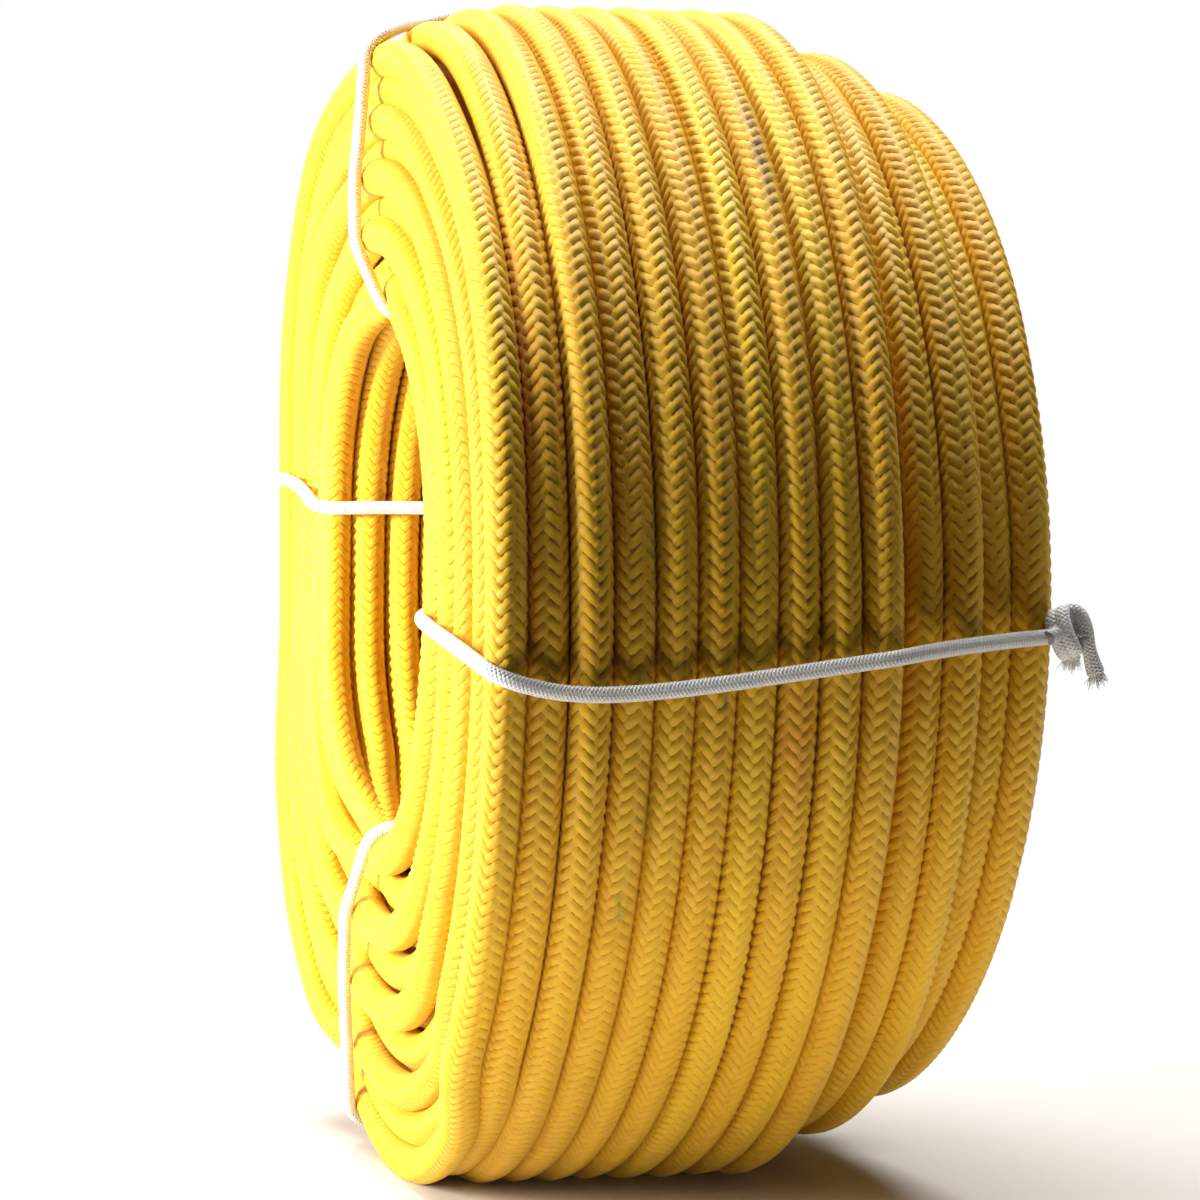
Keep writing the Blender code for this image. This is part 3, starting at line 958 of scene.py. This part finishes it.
def tie_loop(name):
    """The tie's line round the coil, which starts and ends at its knot."""
    degrees, lean, share = TIES[name]
    angle = math.radians(degrees)
    section = tie_section(lean, angle, SLID.get(name, 0.0))
    inner = layer_radius(0)
    height = inner + (layer_radius(LAST) - inner) * share
    middle = int(np.argmin(np.abs(section[:, 1] - height) - section[:, 0]))
    section = np.concatenate([section[middle:], section[: middle + 1]])
    x, radius, tilt, out_x, out_radius = section.T
    turn = angle + np.radians(tilt)
    line = np.stack([x, -radius * np.cos(turn), AXIS_HEIGHT + radius * np.sin(turn)], axis=1)
    outward = np.stack([out_x, -out_radius * np.cos(turn), out_radius * np.sin(turn)], axis=1)
    return Route(line, outward)


def make_knot(name, local, out):
    """An overhand knot; local() turns places along, across and off the tie into points."""
    knot = Builder()
    # Two and a half turns round the tie, lying from the upper inner side to the lower outer one.
    turn = np.linspace(math.radians(-150), math.radians(700), 150)
    share = np.linspace(-1, 1, 150)
    lying, beside = np.array([0.0, 0.88, 0.47]), np.array([0.0, -0.47, 0.88])
    wrap = local(
        np.array([0.0, -0.0010, 0.0030])
        + beside * (0.0038 * share)[:, None]
        + lying * (0.0054 * np.cos(turn) * (1.0 + 0.10 * np.cos(2 * share)))[:, None]
        + np.array([-1.0, 0.0, 0.0]) * (0.0034 * np.sin(turn))[:, None]
    )
    line = Route(wrap, wrap - wrap.mean(axis=0))
    add_cord(knot, line, 0.0, line.length, TIE_RADIUS, 20, 0.0009, CORD_LAY, flat=FLAT)
    # The cord bows outwards through the middle of them.
    cross = local(
        [
            (-0.0075, 0.0, 0.0002),
            (-0.004, -0.0012, 0.0022),
            (0.0, 0.0016, 0.0040),
            (0.004, 0.0012, 0.0022),
            (0.0075, 0.0, 0.0002),
        ]
    )
    line = Route(curve_through(cross, 40), np.tile(out, (40, 1)))
    add_cord(knot, line, 0.0, line.length, TIE_RADIUS, 20, 0.0009, CORD_LAY)
    return knot.build(f"tie_{name}_overhand_knot", CORD_LOOK)


def opened(share):
    """A cut tail opens out towards its end."""
    return 1.0 + 0.22 * smooth((share - 0.72) / 0.28)


def make_tails(name, centre):
    """The two tails of a knot, each with its tuft of fibres."""
    tails = []
    for label, offsets, fibres in (("long", LONG_TAIL, 150), ("short", SHORT_TAIL, 130)):
        tail = Builder()
        points = curve_through([centre + np.array(offset) for offset in offsets], TAIL_POINTS)
        line = Route(points, np.tile(np.array([0.3, -1.0, 0.1]), (TAIL_POINTS, 1)))
        radius = TIE_RADIUS * 0.97
        add_cord(tail, line, 0.0, line.length, radius, 24, 0.0010, CORD_LAY, flat=1.06, shape=opened)
        tail_piece = tail.build(f"tie_{name}_{label}_tail_cord", CORD_LOOK)
        tuft = Builder()
        seed = 11 + len(name) + len(label)
        fray(tuft, points[-1], points[-1] - points[-4], seed, fibres, 0.0042, 0.55)
        tuft_piece = tuft.build(f"tie_{name}_{label}_tail_fray", FRAY_LOOK)
        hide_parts(f"tie_{name}_{label}_tail")
        tails += [tail_piece, tuft_piece]
    return tails


def make_tie(name):
    """A cord round the coil's wall, its knot and its tails."""
    loop = tie_loop(name)
    line = loop.points
    knot_at = line[0]
    along = line[1] - line[-2]
    along /= np.linalg.norm(along)
    out = np.array([1.0, 0.0, 0.0])
    out -= along * out.dot(along)
    out /= np.linalg.norm(out)
    across = np.cross(along, out)

    def local(points):
        p = np.asarray(points, float)
        return knot_at + p[:, :1] * along + p[:, 1:2] * across + p[:, 2:] * out

    cord = Builder()
    add_cord(cord, loop, CUT, loop.length - CUT, TIE_RADIUS, 24, TIE_SPACING, CORD_LAY, flat=FLAT)
    cord = cord.build(f"tie_{name}_cord", CORD_LOOK)
    knot = make_knot(name, local, out)
    tails = make_tails(name, knot_at + out * 0.0026)
    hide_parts(f"tie_{name}_loop")
    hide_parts(f"tie_{name}_knot")
    for piece in (cord, knot, *tails):
        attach(piece, f"{name}_tie")


for name in TIES:
    make_tie(name)


# ---- floor and light -----------------------------------------------------------------------------
FLOOR_FRONT = -0.31  # the floor ends here, so that its light doesn't flatten the front of the coil
FLOOR_RADIUS = 14.0
FLOOR_DROP = 0.0002  # below the rope that stands on it


def make_floor():
    """A pale floor with a painted shadow to the right of the coil, painted light that brightens it further
    away, and a painted glow that fades it into the white surroundings.
    """
    mesh = bpy.data.meshes.new("floor")
    rings, sides = 40, 96
    radius = FLOOR_RADIUS * (np.linspace(0, 1, rings) ** 2.2)
    theta = 2 * math.pi * np.arange(sides) / sides
    points = [(0.0, 0.0, 0.0)]
    faces = []
    for r in radius[1:]:
        points += [(r * math.cos(t), max(r * math.sin(t), FLOOR_FRONT), 0.0) for t in theta]
    for k in range(sides):
        faces.append((0, 1 + k, 1 + (k + 1) % sides))
    for row in range(rings - 2):
        for k in range(sides):
            a, b = 1 + row * sides + k, 1 + row * sides + (k + 1) % sides
            faces.append((a, a + sides, b + sides, b))
    mesh.from_pydata(points, [], faces)
    floor = bpy.data.objects.new("floor", mesh)
    bpy.context.scene.collection.objects.link(floor)
    floor.location.z = -FLOOR_DROP
    nodes = Nodes("pale_floor")
    tree = nodes.tree
    where = nodes.place()
    far = tree.nodes.new("ShaderNodeVectorMath")
    far.operation = "LENGTH"
    tree.links.new(where, far.inputs[0])
    away = far.outputs["Value"]
    split = tree.nodes.new("ShaderNodeSeparateXYZ")
    tree.links.new(where, split.inputs[0])
    # Painted shadow: near the coil the floor goes from white on the -X side to grey towards +X, where the
    # coil's shadow falls.
    near_floor_painted_shadow = nodes.mix(nodes.ramp(split.outputs[0], -0.22, 0.08), (0.90, 0.90, 0.90), (0.58, 0.56, 0.535))
    # Painted light: further from the coil the floor's colour brightens towards white.
    nodes.finish(nodes.mix(nodes.ramp(away, 0.3, 2.4), near_floor_painted_shadow, (0.88, 0.88, 0.88)), 0.6, specular=0.25)
    # Painted light: beyond about a metre the floor glows white, though it is no lamp.
    painted_far_glow = tree.nodes.new("ShaderNodeEmission")
    painted_far_glow.inputs[0].default_value = (1.0, 1.0, 1.0, 1.0)
    painted_far_glow.inputs[1].default_value = 1.0
    blend = tree.nodes.new("ShaderNodeMixShader")
    tree.links.new(nodes.ramp(away, 0.75, 1.4), blend.inputs[0])
    tree.links.new(nodes.shader.outputs[0], blend.inputs[1])
    tree.links.new(painted_far_glow.outputs[0], blend.inputs[2])
    tree.links.new(blend.outputs[0], tree.nodes["Material Output"].inputs[0])
    mesh.materials.append(nodes.material)


def hang(data, place, target):
    """Puts a lamp at a place, turned to its target."""
    lamp = bpy.data.objects.new(data.name, data)
    bpy.context.scene.collection.objects.link(lamp)
    lamp.location = place
    lamp.rotation_euler = (Vector(target) - Vector(place)).to_track_quat("-Z", "Y").to_euler()
    return lamp


def area(name, place, target, size, power, colour=(1, 1, 1)):
    """A rectangular lamp that the camera doesn't see."""
    data = bpy.data.lights.new(name, "AREA")
    data.shape = "RECTANGLE"
    data.size, data.size_y = size
    data.energy = power
    data.color = colour
    hang(data, place, target).visible_camera = False


def into_bore(place, target, power):
    """A narrow beam that lights the far wall of the bore."""
    data = bpy.data.lights.new("bore_beam", "SPOT")
    data.energy = power
    data.spot_size = math.radians(9)
    data.spot_blend = 0.8
    data.shadow_soft_size = 0.12
    hang(data, place, target)


def make_world():
    """White surroundings that light the coil only faintly."""
    world = bpy.data.worlds.new("studio")
    bpy.context.scene.world = world
    world.use_nodes = True
    tree = world.node_tree
    back = tree.nodes["Background"]
    back.inputs[0].default_value = (1.0, 1.0, 1.0, 1.0)
    path = tree.nodes.new("ShaderNodeLightPath")
    level = tree.nodes.new("ShaderNodeMapRange")
    level.inputs[3].default_value = 0.03
    level.inputs[4].default_value = 1.0
    tree.links.new(path.outputs["Is Camera Ray"], level.inputs[0])
    tree.links.new(level.outputs[0], back.inputs[1])


make_floor()
make_world()
area("window", (-2.4, -0.14, 0.75), (0.0, 0.0, 0.2), (0.6, 1.2), 124.0, (1.0, 0.99, 0.97))
area("back_window", (-0.9, 1.7, 1.15), (0.0, 0.0, 0.2), (1.6, 1.1), 14.0)
area("ceiling", (0.1, 0.35, 1.9), (0.0, 0.0, 0.2), (1.4, 1.4), 74.0)
area("floor_card", (0.02, -0.26, 0.004), (0.02, -0.12, 0.05), (0.5, 0.06), 0.26, (1.0, 0.96, 0.88))
into_bore((-1.30, -0.55, 0.34), (-0.03, 0.09, 0.19), 420.0)

view = bpy.context.scene.view_settings
view.view_transform = "Standard"
view.look = "None"
view.exposure = 0.0
view.gamma = 1.0
